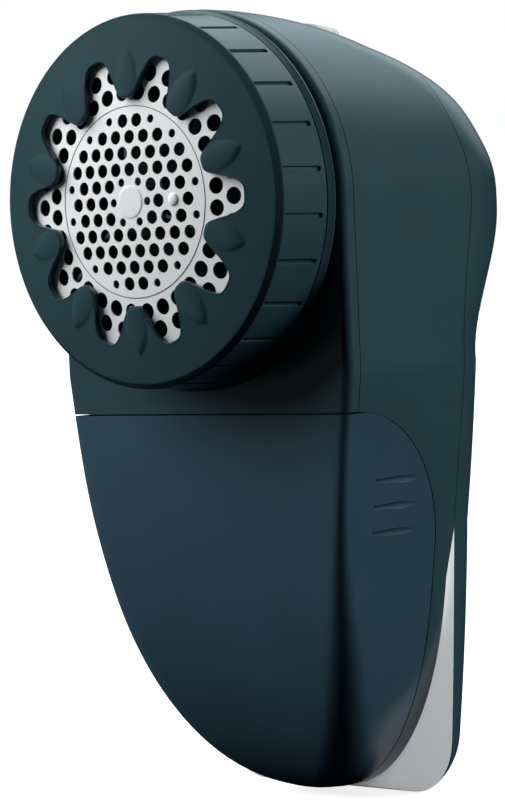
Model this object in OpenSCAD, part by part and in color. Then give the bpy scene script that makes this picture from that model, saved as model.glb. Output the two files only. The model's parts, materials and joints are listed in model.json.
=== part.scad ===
// Battery fabric shaver: an upright hand-held body with a round cutting head on its
// front, a star-shaped height guard over a perforated foil, and a pull-off lint bin.
// Z is up, the head faces -Y, and the origin is the centre of the flat base.

/* [Body] */
// Height of the head's axis above the base
axis_h = 110; // [108:0.5:112]
// Radius of the rounded top of the body
head_r = 34.2; // [33.8:0.1:34.8]
// Position of the foil's centre in front of the origin
foil_y = -51.5; // [-52:0.1:-51]
// Wall thickness of the casings
wall = 1.8; // [1.6:0.1:2]
// Narrowing of each side per millimetre of height below the head
side_draft = 0.137; // [0.12:0.005:0.15]
// Radius of the two rounded corners along the back
back_corner_r = 20; // [18:0.5:21]

/* [Guard] */
// Outer radius of the guard's rear rim
guard_r = 34; // [33.8:0.1:34.2]
// Number of points of the star window
star_points = 10; // [8:1:12]
// Radius of the star's tips
star_tip_r = 25.8; // [25:0.1:26.4]
// Radius of the rounded tongues between the tips
star_tongue_r = 18.2; // [17.6:0.1:19]
// Number of grip grooves around the guard
grip_count = 26; // [20:1:30]
// Height of the leaf-shaped bumps on the guard
petal_rise = 0.55; // [0.3:0.05:0.7]

/* [Foil] */
// Distance between the centres of neighbouring holes
hole_pitch = 3.3; // [3.2:0.05:3.4]
// Diameter of the inner holes
hole_d = 2.4; // [2:0.1:2.5]
// Diameter of the small holes along the edge of the inner field
small_hole_d = 1.5; // [1.2:0.1:1.6]
// Diameter of the holes in the outer rings
ring_hole_d = 3; // [2.6:0.1:3]
// Number of holes in each outer ring
ring_holes = 32; // [30:1:32]
// Number of blades on the cutter
blade_count = 3; // [2:1:4]

/* [Power] */
// Radius of one battery cell
cell_r = 7.15; // [6.9:0.05:7.2]
// Length of one battery cell
cell_len = 50.5; // [49.5:0.5:50.5]
// Radius of the motor's can
motor_r = 12; // [11:0.5:12]
// Length of the motor's can
motor_len = 26; // [24:1:27]
// Angle of the switch's track, down towards the back
switch_slope = 17; // [15:1:19]

/* [Hidden] */
$fn = 64;

gap = 0.3;              // between pieces that move past each other
chin_h = 71.8;          // height of the seam above the lint bin
face_y = foil_y + 16.7; // flat front of the body, around and below the head
plate_y = foil_y + 20;  // seam between the front plate and the side body
bin_y = foil_y + 44.5;  // back of the lint bin
mid_y = foil_y + 48.5;  // back of the body's lower strip
back_y = foil_y + 50;   // seam between the body and the rear cover
split_h = 50;           // below this height the front and back outlines part
apex_h = 40;            // height where the light base piece reaches its full depth
cell_y = 2.3;           // depth of the cells' axes
cell_x = 7.6;           // distance of the cells' axes from the middle
cell_h = 23.8;          // underside of the cells
edge_r = 1.6;           // fillet along the front edges
foil_dome = 0.0033;     // rise of the foil per square millimetre of radius
foil_t = 0.3;           // thickness of the foil
foil_r = 26.6;          // radius of the foil
dome_r = 1 / (2 * foil_dome);
guard_rise = -1.45;     // the guard's face stands this far in front of the foil
guard_t = 1.1;          // thickness of the guard's face
guard_depth = 15.6;     // rear edge of the guard, behind the foil's centre
motor_z = 24;           // front of the motor, behind the foil's centre

function smooth(t) = let (c = min(max(t, 0), 1)) c * c * (3 - 2 * c);
function dome(r) = foil_dome * r * r;

// ---- outline of the body -------------------------------------------------------

// rounding of the lower end, as a share of the half width
function toe(h) = pow(max(1 - pow(max(40 - h, 0) / 39.5, 2.5), 0.0001), 0.38);
// half width of the front part at height h
function half_w(h) = h > axis_h
    ? sqrt(max(head_r * head_r - (h - axis_h) * (h - axis_h), 0.5))
    : (head_r - side_draft * max(79 - h, 0)) * toe(h);
// half width of the back part, whose lower end is squarer
function heel(h) = 5.5 * (1 - sqrt(1 - pow(max(10 - h, 0) / 10, 2)));
function back_w(h) = h > split_h ? half_w(h) : half_w(split_h) - 0.05 * (split_h - h) - heel(h);
// front face, which curves back towards the toe
function front_y(h) = h > 72 ? face_y
    : foil_y + 44 - 27.3 * sqrt(max(1 - pow((72 - h) / 71.5, 2.15), 0));
// back face: a nearly straight grip that swells behind the head and closes over the top
function grip_y(h) = foil_y + 67 - 0.0012 * pow(min(h, 81) - 54, 2) + 8.35 * smooth((h - 80) / 27.5);
function over_share(s) = pow(1 - pow(s, 2.7), 0.6) - 0.024 * exp(-pow((s - 0.33) / 0.17, 2));
function rear_y(h) = h > axis_h
    ? plate_y + (grip_y(axis_h) - plate_y) * over_share((h - axis_h) / head_r)
    : grip_y(h) - heel(h);
// fillet between front and side, wider towards the toe
function fillet(h) = edge_r + 4.9 * smooth((60 - h) / 55);

function arc(cx, cy, r, a0, a1, n = 5) =
    [for (k = [0:n]) let (a = a0 + (a1 - a0) * k / n) [cx + r * cos(a), cy + r * sin(a)]];
function mirrored(half) = concat(half, [for (k = [len(half) - 1:-1:0]) [-half[k].x, half[k].y]]);
function raised(points, h) = [for (p = points) [p.x, p.y, h]];

// right half of the front corner, inset by i
function front_half(h, i) = let (w = max(half_w(h) - i, 0.8), r = min(max(fillet(h) - i, 0.3), w * 0.9))
    arc(w - r, front_y(h) + i + r, r, -90, 0);
// right half of the back corner, inset by i and starting no further forward than from_y
function back_half(h, i, from_y) = let (w = max(back_w(h) - i, 0.8), d = rear_y(h) - i,
        r = min(back_corner_r - i, w * 0.95, d - face_y - 2), c = d - r,
        a0 = c < from_y ? asin(min((from_y - c) / r, 0.95)) : 0)
    arc(w - r, c, r, a0, 90, 7);
function full_ring(h, i) = raised(mirrored(concat(front_half(h, i), back_half(h, i, face_y + 1))), h);
function front_ring(h, i) = raised(mirrored(concat(front_half(h, i), [[max(half_w(h) - i, 0.8), mid_y]])), h);
function back_ring(h, i) = let (b = back_half(h, i, mid_y)) raised(mirrored(concat([[b[0].x, mid_y]], b)), h);

head_steps = [for (a = [90:-9:0]) axis_h + head_r * sin(a)];
grip_steps = [for (k = [0:9]) axis_h - (axis_h - split_h) * k / 9];
toe_steps = [for (k = [0:12]) 0.5 + (split_h - 0.5) * pow(1 - k / 12, 1.4)];

// the solid between two rings of points
module span(a, b) {
    hull() polyhedron(points = concat(a, b), faces = [[for (k = [0:len(a) + len(b) - 1]) k]]);
}

// the whole outer form, moved inwards by i
module core(i = 0) {
    upper = concat(head_steps, grip_steps);
    low = max(i, 0);
    for (k = [0:len(upper) - 2]) if (upper[k] - upper[k + 1] > 0.01 && (i == 0 || k > 0))
        span(full_ring(upper[k], i), full_ring(upper[k + 1], i));
    for (k = [0:len(toe_steps) - 2]) if (toe_steps[k + 1] > low - 0.1) {
        span(front_ring(toe_steps[k], i), front_ring(toe_steps[k + 1], i));
        span(back_ring(toe_steps[k], i), back_ring(toe_steps[k + 1], i));
    }
    if (i == 0) span(back_ring(0.5, 0), back_ring(0, 0));
}

// a profile drawn in Y and Z, extruded across the body
module across(points, w = 90) {
    rotate([90, 0, 90]) linear_extrude(w, center = true) polygon(points);
}

// room of the lint bin, grown by g
function bin_outline(g) = concat([[-70, -5], [-70, chin_h + g]],
    [for (a = [0:10:90]) [plate_y + (24.5 + g) * sin(a), 46 + (25.8 + g) * cos(a)]],
    [[bin_y + g, -5]]);
function seam_y(h) = back_y + 3.5 * exp(-pow((h - axis_h) / 14, 2));
seam_line = concat([[mid_y - 0.05, -5], [mid_y - 0.05, apex_h], [back_y, split_h]],
    [for (h = [70:6:148]) [seam_y(h), h]]);
cover_line = concat([[back_y, -5], [back_y, split_h]], [for (h = [70:6:148]) [seam_y(h), h]]);

// hollow casing with the wall that closes off the lint bin
module casing() {
    difference() {
        core();
        core(wall);
    }
    intersection() {
        core();
        difference() {
            across(bin_outline(wall + gap));
            across(bin_outline(gap));
        }
    }
}

// ---- head ----------------------------------------------------------------------

// children drawn around Z, laid on the head's axis with depth running backwards
module on_axis() {
    translate([0, foil_y, axis_h]) rotate([-90, 0, 0]) children();
}

// ring with a square section
module ring(r_in, r_out, z0, z1) {
    translate([0, 0, z0]) difference() {
        cylinder(r = r_out, h = z1 - z0);
        translate([0, 0, -1]) cylinder(r = r_in, h = z1 - z0 + 2);
    }
}

// radius of the star window in direction a: rounded tips and rounded tongues
function star_r(a) = let (c = cos(a * star_points))
    star_tongue_r + (star_tip_r - star_tongue_r) * (0.5 + 0.5 * c * (1.5 - 0.5 * c * c));

// the guard's face at radius r, moved back by t
function face_at(r, t = 0) = [r, guard_rise + t + dome(r)];

module height_guard() {
    front = [for (r = [0:4:32]) face_at(r)];
    back = [for (r = [32:-4:0]) face_at(r, guard_t)];
    rim = [[33, 2.95], [33.05, 3.5], [33.45, 13.7], [33.2, 13.8], [33.2, 14.05], [33.6, 14.15],
        [guard_r, 15.2], [guard_r - 0.3, guard_depth], [31.6, guard_depth], [31.6, 2.9 + guard_t]];
    color("#26373e") on_axis() difference() {
        union() {
            rotate_extrude($fn = 120) polygon(concat(front, rim, back));
            intersection() {
                for (k = [0:star_points - 1]) rotate((k + 0.5) * 360 / star_points) petal();
                rotate_extrude($fn = 120) polygon(concat([for (r = [0:4:32]) face_at(r, -2)],
                    [for (r = [32:-4:0]) face_at(r, guard_t / 2)]));
            }
        }
        translate([0, 0, -4]) linear_extrude(12) polygon([for (a = [0:3:357]) star_r(a) * [cos(a), sin(a)]]);
        for (k = [0:grip_count - 1]) rotate((k + 0.5) * 360 / grip_count)
            translate([32.8, -0.45, 3]) cube([2, 0.9, 9.6]);
    }
}

// a barrel that stands out of the guard's face as a leaf-shaped bump between two tips
module petal() {
    half_len = 4.6;
    half_wid = 2.6;
    barrel_r = (half_wid * half_wid + petal_rise * petal_rise) / (2 * petal_rise);
    translate([22, 0, face_at(22)[1] + barrel_r - petal_rise]) rotate([0, 90 - 8.5, 0])
        rotate_extrude($fn = 96) polygon(concat([[0, -half_len]],
            [for (k = [-4:4]) [barrel_r - petal_rise * k * k / 16, half_len * k / 4]], [[0, half_len]]));
}

module lift_ring() {
    color("#1b1e20") on_axis() ring(29.9, 31.3, 7.5, 14);
}

// holes of one hexagonal quarter row: how far a row reaches, and where it starts
rows = [[2, 4], [1.5, 3.5], [0, 4], [0.5, 3.5], [0, 2], [0.5, 0.5]];

module foil_holes() {
    row_h = hole_pitch * sqrt(3) / 2;
    for (s = [-1, 1], n = [0:5], m = [-1, 1]) if (n > 0 || s > 0)
        for (x = [rows[n][0]:rows[n][1]]) if (x > 0 || m > 0)
            if (!(n == 0 && m == 1 && x == 3))
                translate([m * x * hole_pitch, s * n * row_h, 0]) cylinder(d = hole_d, h = 8, $fn = 16);
    // the small holes that round off the field, inside and outside
    for (a = [0:60:300]) rotate(a) translate([1.22 * hole_pitch, 0, 0]) cylinder(d = small_hole_d, h = 8, $fn = 16);
    for (m = [-1, 1], s = [-1, 1]) for (p = [[4.5, 1], [3, 4], [1.5, 5]])
        translate([m * p.x * hole_pitch, s * p.y * row_h, 0]) cylinder(d = small_hole_d, h = 8, $fn = 16);
    // two rings of larger holes, half a step apart
    for (k = [0:ring_holes - 1]) {
        rotate((k + 0.5) * 360 / ring_holes) translate([19.3, 0, 0]) cylinder(d = ring_hole_d - 0.1, h = 8, $fn = 16);
        rotate(k * 360 / ring_holes) translate([22.75, 0, 0]) cylinder(d = ring_hole_d, h = 8, $fn = 16);
    }
}

module shaving_foil() {
    color("#d5d8da") on_axis() difference() {
        intersection() {
            translate([0, 0, dome_r]) sphere(r = dome_r, $fn = 200);
            cylinder(r = foil_r, h = 8);
        }
        translate([0, 0, dome_r + foil_t]) sphere(r = dome_r, $fn = 200);
        translate([0, 0, -2]) foil_holes();
    }
}

module foil_boss() {
    color("#e2e4e6") on_axis() translate([0, 0, -0.15]) cylinder(r = 2.9, h = 0.15);
}

module foil_rivet() {
    color("#f0f0f0") on_axis() translate([3 * hole_pitch, 0, dome(3 * hole_pitch)])
        translate([0, 0, -0.45]) {
            cylinder(r1 = 0.7, r2 = 1, h = 0.3);
            translate([0, 0, 0.3]) cylinder(r = 1, h = 0.15);
        }
}

module foil_ring() {
    color("#20262a") on_axis() rotate_extrude()
        polygon([[26, 2.85], [29.2, 2.95], [29.2, 7], [27.8, 7], [27.8, 4.4], [26, 4.4]]);
}

module cutter_housing() {
    color("#2a3034") on_axis() difference() {
        rotate_extrude() polygon([[3.2, 13.2], [27.6, 13.2], [27.6, 7.1], [29.55, 7.1], [29.55, 18.6],
            [32, 18.6], [32, 20.2], [27.6, 20.2], [27.6, 14.6], [5.4, 14.6], [5.4, 16.6], [3.2, 16.6]]);
        // way out for the lint, at the bottom of the cup
        translate([-13.5, 14, 12]) cube([27, 12.5, 4]);
    }
}

module cutter_hub() {
    color("#3a4146") on_axis() difference() {
        union() {
            translate([0, 0, 3]) cylinder(r = 6, h = 7);
            for (k = [0:blade_count - 1]) rotate(k * 360 / blade_count + 20)
                translate([3, -1.6, 6.2]) cube([20, 3.2, 1.8]);
            // air vanes that carry the lint outwards
            for (k = [0:blade_count - 1]) rotate(k * 360 / blade_count + 70)
                translate([4, -0.6, 6.2]) cube([17, 1.2, 3.6]);
        }
        translate([0, 0, 2]) cylinder(r = 1.5, h = 10);
        for (k = [0:blade_count - 1]) rotate(k * 360 / blade_count + 20)
            translate([6.4, -0.35, 6]) cube([17, 0.7, 1.3]);
    }
}

module cutter_blades() {
    color("silver") on_axis() for (k = [0:blade_count - 1]) rotate(k * 360 / blade_count + 20)
        rotate([90, 0, 0]) linear_extrude(0.6, center = true)
            polygon(concat([for (r = [7:3.2:23]) [r, dome(r) + foil_t + 0.35]], [[22.8, 7.2], [7, 7.2]]));
}

// a wire of radius r swept through points
module wire(points, r, sides = 8) {
    n = len(points);
    function dir(k) = let (v = points[min(k + 1, n - 1)] - points[max(k - 1, 0)]) v / norm(v);
    function side_of(d) = let (s = cross(d, abs(d.z) > 0.9 ? [1, 0, 0] : [0, 0, 1])) s / norm(s);
    polyhedron(
        points = [for (k = [0:n - 1]) let (d = dir(k), u = side_of(d), v = cross(d, u))
            for (q = [0:sides - 1]) points[k] + r * (cos(q * 360 / sides) * u + sin(q * 360 / sides) * v)],
        faces = concat([[for (q = [0:sides - 1]) q]],
            [for (k = [0:n - 2], q = [0:sides - 1]) let (a = k * sides + q, b = k * sides + (q + 1) % sides)
                [a, a + sides, b + sides, b]],
            [[for (q = [sides - 1:-1:0]) (n - 1) * sides + q]]));
}

function coil(r0, r1, height, turns, steps = 16) = [for (k = [0:turns * steps])
    let (t = k / (turns * steps), r = r0 + (r1 - r0) * t, a = 360 * turns * t)
    [r * cos(a), r * sin(a), height * t]];

module cutter_spring() {
    color("silver") on_axis() translate([0, 0, 10.3]) wire(coil(2.4, 2.4, 2.2, 3), 0.22);
}

module drive_spindle() {
    color("silver") on_axis() {
        translate([0, 0, 3.2]) cylinder(r = 1.5, h = 18.8);
        translate([0, 0, 22]) cylinder(r = 1, h = 33);
    }
}

module spindle_bush() {
    color("#b08d57") on_axis() ring(1.55, 3.2, 12.9, 16.9);
}

module motor_rotor() {
    color("#8a5a3a") on_axis() difference() {
        translate([0, 0, motor_z + 5]) cylinder(r = 7.6, h = motor_len - 11);
        translate([0, 0, motor_z]) cylinder(r = 1, h = motor_len);
        for (k = [0:2]) rotate(k * 120) translate([5.5, -0.9, motor_z]) cube([4, 1.8, motor_len]);
    }
}

module motor_magnets() {
    color("#4a4a4a") on_axis() for (a = [0, 180]) rotate(a) difference() {
        ring(8.2, motor_r - 0.75, motor_z + 4, motor_z + motor_len - 5);
        translate([-20, -20, 20]) cube([22, 40, 40]);
    }
}

module motor_can() {
    color("#b9bdc0") on_axis() translate([0, 0, motor_z]) difference() {
        cylinder(r = motor_r, h = motor_len);
        translate([0, 0, 0.8]) cylinder(r = motor_r - 0.7, h = motor_len);
        translate([0, 0, -1]) cylinder(r = 2, h = 4);
    }
}

module motor_end_cap() {
    color("#e8e4d8") on_axis() translate([0, 0, motor_z + motor_len]) difference() {
        union() {
            cylinder(r = motor_r, h = 1.6);
            cylinder(r = 3.4, h = 4);
        }
        translate([0, 0, -1]) cylinder(r = 1.06, h = 8);
    }
}

module motor_terminals() {
    color("#c9a227") on_axis() for (a = [0, 180]) rotate(a) translate([7.6, -1.2, motor_z + 1.6 + motor_len])
        cube([0.4, 2.4, 4.4]);
}

module motor_mount() {
    color("#2a3034") on_axis() difference() {
        union() {
            ring(3, 26, 20.3, motor_z - 0.1);
            ring(motor_r + 0.1, motor_r + 2, motor_z - 0.2, motor_z + 14);
        }
        translate([-30, 16, 18]) cube([60, 30, 30]);
        for (a = [0, 180]) rotate(a) translate([8, 0, 18]) cylinder(r = 1.2, h = 8);
    }
}

module motor_screws() {
    color("silver") on_axis() for (a = [0, 180]) rotate(a) translate([8, 0, 0]) {
        translate([0, 0, 18.9]) cylinder(r = 1.9, h = 1.4);
        translate([0, 0, 20.2]) cylinder(r = 1, h = 4.6);
    }
}

// ---- lint path -----------------------------------------------------------------

module lint_chute() {
    color("#2a3034") difference() {
        translate([-15.2, plate_y + 0.5, chin_h + 3.4]) cube([30.4, 11, 16]);
        translate([-14, plate_y + 1.7, chin_h]) cube([28, 8.6, 18]);
        translate([-13.4, plate_y, 83]) cube([26.8, 4, 6.6]);
    }
}

module chute_seal() {
    color("#151515") difference() {
        translate([-15.2, plate_y + 0.5, chin_h + 2.3]) cube([30.4, 11, 1.1]);
        translate([-14, plate_y + 1.7, chin_h]) cube([28, 8.6, 18]);
    }
}

module lint_collector() {
    color("#24344c") difference() {
        intersection() {
            core();
            across(bin_outline(0));
        }
        intersection() {
            core(wall);
            across(bin_outline(-wall));
        }
        // open mouth under the chute
        translate([-14, plate_y + 1.7, chin_h - 14]) cube([28, 12, 20]);
        // three finger grips on each side
        for (m = [-1, 1], k = [0:2]) translate([m * (half_w(60 - 4.7 * k) + 0.25), -24.4, 59.2 - 4.7 * k])
            rotate([-90, 0, -m * 2]) cylinder(r = 0.65, h = 10, $fn = 16);
    }
}

// ---- casings -------------------------------------------------------------------

module front_plate() {
    color("#26373e") difference() {
        intersection() {
            casing();
            translate([-50, face_y - 5, chin_h - 5]) cube([100, plate_y - face_y + 5, 90]);
        }
        across(bin_outline(gap));
        on_axis() translate([0, 0, 12]) cylinder(r = 29.7, h = 12);
        translate([-14, plate_y - 1, chin_h - 5]) cube([28, 8.6, 20]);
    }
}

screw_spots = [[-18, 128], [18, 128], [-21, 90], [21, 90]];

// a post along Y at one screw place, from y0 to y1
module post(spot, r, y0, y1) {
    translate([spot[0], y0, spot[1]]) rotate([-90, 0, 0]) cylinder(r = r, h = y1 - y0, $fn = 24);
}

module switch_frame() {
    translate([0, foil_y + 46, axis_h + 29.9]) rotate([-switch_slope, 0, 0]) children();
}

module side_body() {
    region = concat([[plate_y, -5]], seam_line, [[plate_y, 148]]);
    color("#26373e") difference() {
        union() {
            intersection() {
                casing();
                across(region);
            }
            intersection() {
                core(0.5);
                for (s = screw_spots) {
                    post(s, 3.4, back_y - 16, seam_y(s[1]) - 0.2);
                    translate([s[0] > 0 ? s[0] : s[0] - 18, back_y - 16, s[1] - 1]) cube([18, 15, 2]);
                }
            }
        }
        across(bin_outline(gap));
        for (s = screw_spots) post(s, 1.1, back_y - 14, back_y + 8);
        translate([-14, plate_y + 1.7, chin_h - 5]) cube([28, 8.6, 12]);
        switch_frame() translate([-2.4, -6.4, -6]) cube([4.8, 10.8, 12]);
    }
}

// outline of the back at height h where it meets the plane y
function side_x(h, y) = back_half(h, 0, y)[0].x;
base_front = [for (k = [0:10]) let (h = 0.5 + (apex_h - 0.5) * pow(k / 10, 1.4)) [half_w(h), mid_y, h]];
base_back = [for (k = [0:10]) let (h = split_h * pow(k / 10, 1.8)) [side_x(h, back_y), back_y, h]];

module battery_tray() {
    sides = concat(base_front, base_back);
    both = concat(sides, [for (p = sides) [-p.x, p.y, p.z]]);
    color("#c8ccd0") difference() {
        union() {
            hull() polyhedron(points = both, faces = [[for (k = [0:len(both) - 1]) k]]);
            translate([-16.8, bin_y + 2.2, 19]) cube([33.6, 6.6, 62]);
        }
        for (m = [-1, 1]) translate([m * cell_x, cell_y, 21]) cylinder(r = cell_r + 0.2, h = 58);
        translate([-cell_x, cell_y - 1, 21]) cube([2 * cell_x, 12, 58]);
    }
}

module rear_cover() {
    color("#26373e") difference() {
        union() {
            intersection() {
                casing();
                across(concat(cover_line, [[60, 148], [60, -5]]));
            }
            intersection() {
                core(0.5);
                for (s = screw_spots) post(s, 3.8, seam_y(s[1]), back_y + 30);
            }
        }
        for (s = screw_spots) {
            post(s, 1.5, back_y - 1, back_y + 12);
            post(s, 2.8, seam_y(s[1]) + 6, back_y + 40);
        }
        translate([-17.3, back_y + 7, 16.7]) cube([34.6, 30, 66.6]);
    }
}

module battery_door() {
    color("#26373e") union() {
        intersection() {
            difference() {
                core();
                core(wall);
            }
            translate([-17, back_y + 7, 17]) cube([34, 30, 66]);
        }
        // catch rib behind the upper edge
        translate([-6, rear_y(80) - wall - 0.9, 76]) cube([12, 1.2, 6]);
    }
}

// ---- power ---------------------------------------------------------------------

module battery_cells() {
    color("#3c3f42") for (m = [-1, 1]) translate([m * cell_x, cell_y, cell_h]) rotate_extrude()
        polygon([[0, m > 0 ? 0.1 : 0], [cell_r, 0.5], [cell_r, cell_len - 1.5],
            [2.7, cell_len - 1.5], [2.7, cell_len], [0, cell_len]]);
}

module battery_springs() {
    color("silver") for (m = [-1, 1]) translate([m * cell_x, cell_y, 21.9]) wire(coil(4.8, 2.6, 1.5, 2), 0.3);
}

module battery_contacts() {
    color("silver") for (m = [-1, 1]) {
        translate([m * cell_x - 5, cell_y - 5.4, 21.1]) cube([10, 10, 0.4]);
        translate([m * cell_x - 5, cell_y - 5.4, cell_h + cell_len + 0.1]) cube([10, 10, 0.4]);
    }
}

module power_strips() {
    color("#c9a227") for (m = [-1, 1]) {
        translate([m * 14 - 1.5, 0, 81.1]) cube([3, 0.4, 20]);
        translate([m * 14 - 1.5, 0, 101.1]) cube([3, 0.4, 22]);
    }
}

module switch_button() {
    color("#c8ccd0") switch_frame() {
        // thumb pad, thicker towards its rear end
        hull() for (x = [-5.4, 5.4], y = [-2.4, 5]) translate([x, y, 0]) {
            translate([0, 0, 0.5]) cylinder(r = 1.4, h = 0.4, $fn = 24);
            translate([0, 0, y > 0 ? 2 : 1.2]) sphere(r = 0.6, $fn = 16);
        }
        translate([-2, -1.5, -3]) cube([4, 3, 4]);
    }
}

module switch_body() {
    color("#1b1e20") switch_frame() difference() {
        translate([-4.5, -8.5, -8.5]) cube([9, 15, 5]);
        translate([-2.4, -6.4, -6]) cube([4.8, 10.8, 4]);
    }
}

module case_screws() {
    color("silver") for (s = screw_spots) {
        post(s, 1.3, back_y - 11, seam_y(s[1]) + 6.1);
        post(s, 2.5, seam_y(s[1]) + 6, seam_y(s[1]) + 7.8);
    }
}

height_guard();
lift_ring();
shaving_foil();
foil_boss();
foil_rivet();
foil_ring();
cutter_housing();
cutter_hub();
cutter_blades();
cutter_spring();
drive_spindle();
spindle_bush();
motor_rotor();
motor_magnets();
motor_can();
motor_end_cap();
motor_terminals();
motor_mount();
motor_screws();
lint_chute();
chute_seal();
front_plate();
side_body();
battery_tray();
rear_cover();
battery_door();
battery_cells();
battery_springs();
battery_contacts();
power_strips();
switch_button();
switch_body();
lint_collector();
case_screws();
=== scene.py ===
import json
import math

import bmesh
import bpy
import numpy as np
from mathutils import Matrix, Vector
from mathutils.geometry import delaunay_2d_cdt


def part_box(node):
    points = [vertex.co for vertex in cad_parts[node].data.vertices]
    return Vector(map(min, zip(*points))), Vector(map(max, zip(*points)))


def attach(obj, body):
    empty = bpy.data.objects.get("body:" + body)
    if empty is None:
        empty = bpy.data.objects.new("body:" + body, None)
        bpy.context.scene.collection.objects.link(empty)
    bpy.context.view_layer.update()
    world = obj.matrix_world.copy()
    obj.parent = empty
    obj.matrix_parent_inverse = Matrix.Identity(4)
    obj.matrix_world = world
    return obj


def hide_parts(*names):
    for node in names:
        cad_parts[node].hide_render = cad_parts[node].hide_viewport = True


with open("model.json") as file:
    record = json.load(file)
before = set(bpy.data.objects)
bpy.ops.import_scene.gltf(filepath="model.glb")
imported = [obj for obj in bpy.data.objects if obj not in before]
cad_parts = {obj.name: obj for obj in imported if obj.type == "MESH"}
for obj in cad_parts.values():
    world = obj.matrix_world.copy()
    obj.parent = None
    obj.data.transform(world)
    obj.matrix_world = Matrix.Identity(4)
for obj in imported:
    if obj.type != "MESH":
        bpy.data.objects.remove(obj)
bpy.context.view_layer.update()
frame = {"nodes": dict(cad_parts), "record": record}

# A battery fabric shaver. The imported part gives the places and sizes; this script gives the
# moulded casings, the guard, the foil and the materials. Shapes are worked out in millimetres
# in the part's own frame (Z up, the head faces -Y) and become metres when a mesh is made.

MM = 0.001

# ---- sizes taken from the frame --------------------------------------------------------------

guard_lo, guard_hi = (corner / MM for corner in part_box("height_guard"))
AXIS_H = (guard_lo.z + guard_hi.z) / 2          # height of the head's axis
GUARD_R = (guard_hi.z - guard_lo.z) / 2         # outer radius of the guard's rear rim
HEAD_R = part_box("side_body")[1].x / MM          # radius of the rounded top of the body
FOIL_Y = round(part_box("shaving_foil")[0].y / MM, 1)     # centre of the foil
CHIN_H = round(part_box("lint_collector")[1].z / MM, 1)   # seam above the lint bin

# ---- sizes of the moulded form, in millimetres ------------------------------------------------

FACE_Y = FOIL_Y + 16.7      # flat front of the body
PLATE_Y = FOIL_Y + 20       # seam between the front plate and the side body
MID_Y = FOIL_Y + 48.5       # back of the body's lower strip
BACK_Y = FOIL_Y + 50        # seam between the body and the rear cover
SPLIT_H = 50                # below this height the front and back outlines part
APEX_H = 40                 # height where the light base piece reaches its full depth
SIDE_DRAFT = 0.137          # narrowing of each side per millimetre below the head
EDGE_R = 1.6                # fillet along the front edges
CORNER_R = 20               # rounded corners along the back
HEEL, HEEL_H = 5.5, 10      # rounding under the back: how far in, and from what height
WALL = 1.8
SEAM = 0.16                 # width of the fine gap between two casings
BIN_GAP = 0.2               # how far the lint bin stays behind its seam
BIN_TOP_H, BIN_TOP_W = 25.8, 24.5   # half axes of the rounded upper corner of the bin
FINGER_TOP_H, FINGER_STEP = 59.1, 4.65     # height of the upper finger grip, and step to the next
FINGER_Y = (-24.9, -13.9)   # front and rear end of the finger grips
FINGER_R = 0.7
PIT_R = 0.7                 # round pit at the front end of each finger grip
DOOR = (17, 17, 83)         # half width, lowest and highest edge of the battery door
SCREW_SPOTS = [(-18, 128), (18, 128), (-21, 90), (21, 90)]

# ---- sizes of the head, in millimetres ---------------------------------------------------------

DOME = 0.0033               # rise of the foil and of the guard's face per square millimetre
GUARD_RISE = -1.45          # the guard's face stands this far in front of the foil
GUARD_T = 1.2
STAR_POINTS = 10
STAR_TIP_R, STAR_TONGUE_R = 25.8, 18.2
GRIP_COUNT, GRIP_HALF, GRIP_DEPTH, GRIP_END = 26, 0.5, 0.5, 12.2
PETAL_R, PETAL_LEN, PETAL_WID, PETAL_RISE = 22.0, 4.7, 2.5, 0.38
HOLE_PITCH, HOLE_D, SMALL_HOLE_D, RING_HOLE_D = 3.3, 2.4, 1.5, 3.0
RING_HOLES = 32             # in each of the two outer rings
FOIL_R, FOIL_T = 26.6, 0.25
SWITCH_SLOPE = math.radians(17)


# ---- outline of the body -------------------------------------------------------------------------

def smooth(t):
    t = np.clip(t, 0, 1)
    return t * t * (3 - 2 * t)


def toe(h):
    """Rounding of the lower end, as a share of the half width."""
    return np.maximum(1 - (np.maximum(40 - h, 0) / 39.5) ** 2.5, 0.0001) ** 0.38


def half_w(h):
    """Half width of the front part at height h."""
    h = np.asarray(h, float)
    head = np.sqrt(np.maximum(HEAD_R ** 2 - (h - AXIS_H) ** 2, 0.0004))
    return np.where(h > AXIS_H, head, (HEAD_R - SIDE_DRAFT * np.maximum(79 - h, 0)) * toe(h))


def heel(h):
    return HEEL * (1 - np.sqrt(1 - (np.maximum(HEEL_H - h, 0) / HEEL_H) ** 2))


def back_w(h):
    low = half_w(SPLIT_H) - 0.05 * (SPLIT_H - h) - heel(h)
    return np.where(h > SPLIT_H, half_w(h), low)


def front_y(h):
    bend = np.sqrt(np.maximum(1 - (np.maximum(72 - h, 0) / 71.5) ** 2.15, 0))
    return np.where(h > 72, FACE_Y, FOIL_Y + 44 - 27.3 * bend)


def grip_y(h):
    return FOIL_Y + 67 - 0.0012 * (np.minimum(h, 81) - 54) ** 2 + 8.35 * smooth((h - 80) / 27.5)


def rear_y(h):
    h = np.asarray(h, float)
    up = np.clip((h - AXIS_H) / HEAD_R, 0, 1)
    share = (1 - up ** 2.7) ** 0.6 - 0.024 * np.exp(-((up - 0.33) / 0.17) ** 2)
    over = PLATE_Y + (grip_y(AXIS_H) - PLATE_Y) * share
    return np.where(h > AXIS_H, over, grip_y(h) - heel(h))


def fillet(h):
    return EDGE_R + 4.9 * smooth((60 - h) / 55)


def seam_y(h):
    """Seam between the side body and the rear cover."""
    bulge = 3.5 * np.exp(-((h - AXIS_H) / 14) ** 2)
    low = MID_Y + (BACK_Y - MID_Y) * np.clip((h - APEX_H) / (SPLIT_H - APEX_H), 0, 1)
    return np.where(h > SPLIT_H, BACK_Y + bulge, low)


def corner(cx, cy, r, a0, a1, n):
    a = np.radians(np.linspace(a0, a1, n))
    return np.c_[cx + r * np.cos(a), cy + r * np.sin(a)]


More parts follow.
